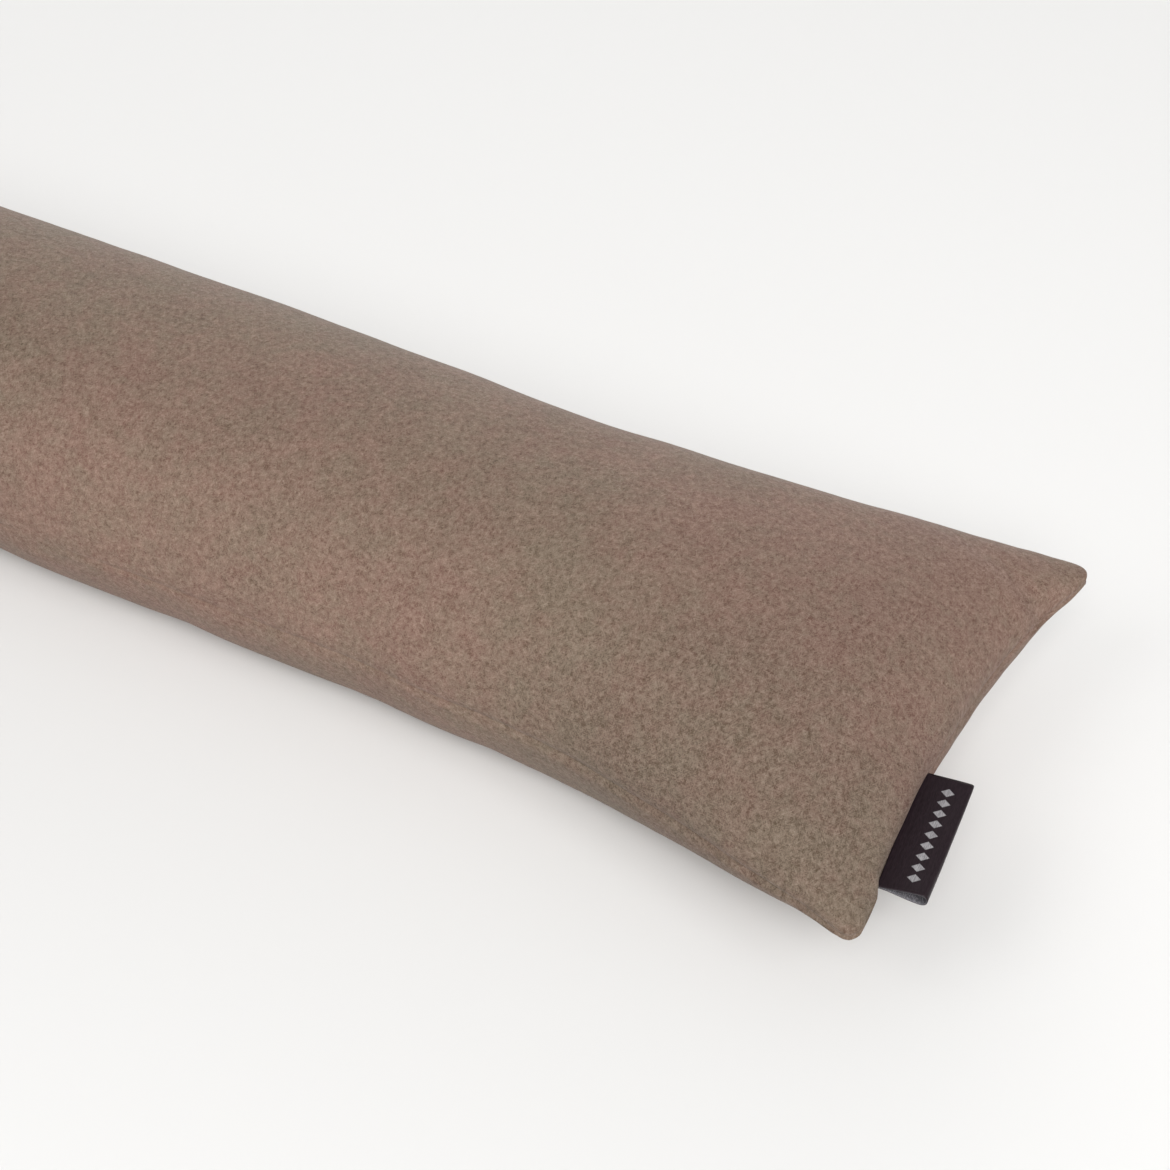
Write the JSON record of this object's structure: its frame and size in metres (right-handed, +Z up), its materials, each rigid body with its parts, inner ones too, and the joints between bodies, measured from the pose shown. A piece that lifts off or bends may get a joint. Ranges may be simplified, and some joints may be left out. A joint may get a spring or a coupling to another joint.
{
  "type": "draught excluder",
  "caption": "Long stuffed felt cushion for the foot of a door, with pointed corners, drawn-in ends and a small folded ribbon label in one end seam.",
  "frame": {"origin": "on the floor, under the middle of the cushion", "axes": "+X along the cushion towards the end with the label, -Y towards the corner that the label is near, +Z up"},
  "size_m": [0.8991, 0.1954, 0.097],
  "materials": {
    "felt": "matt melange wool felt, taupe",
    "ribbon": "satin woven ribbon, near black"
  },
  "bodies": {
    "root": {"cushion": "felt", "label": "ribbon"}
  },
  "joints": []
}
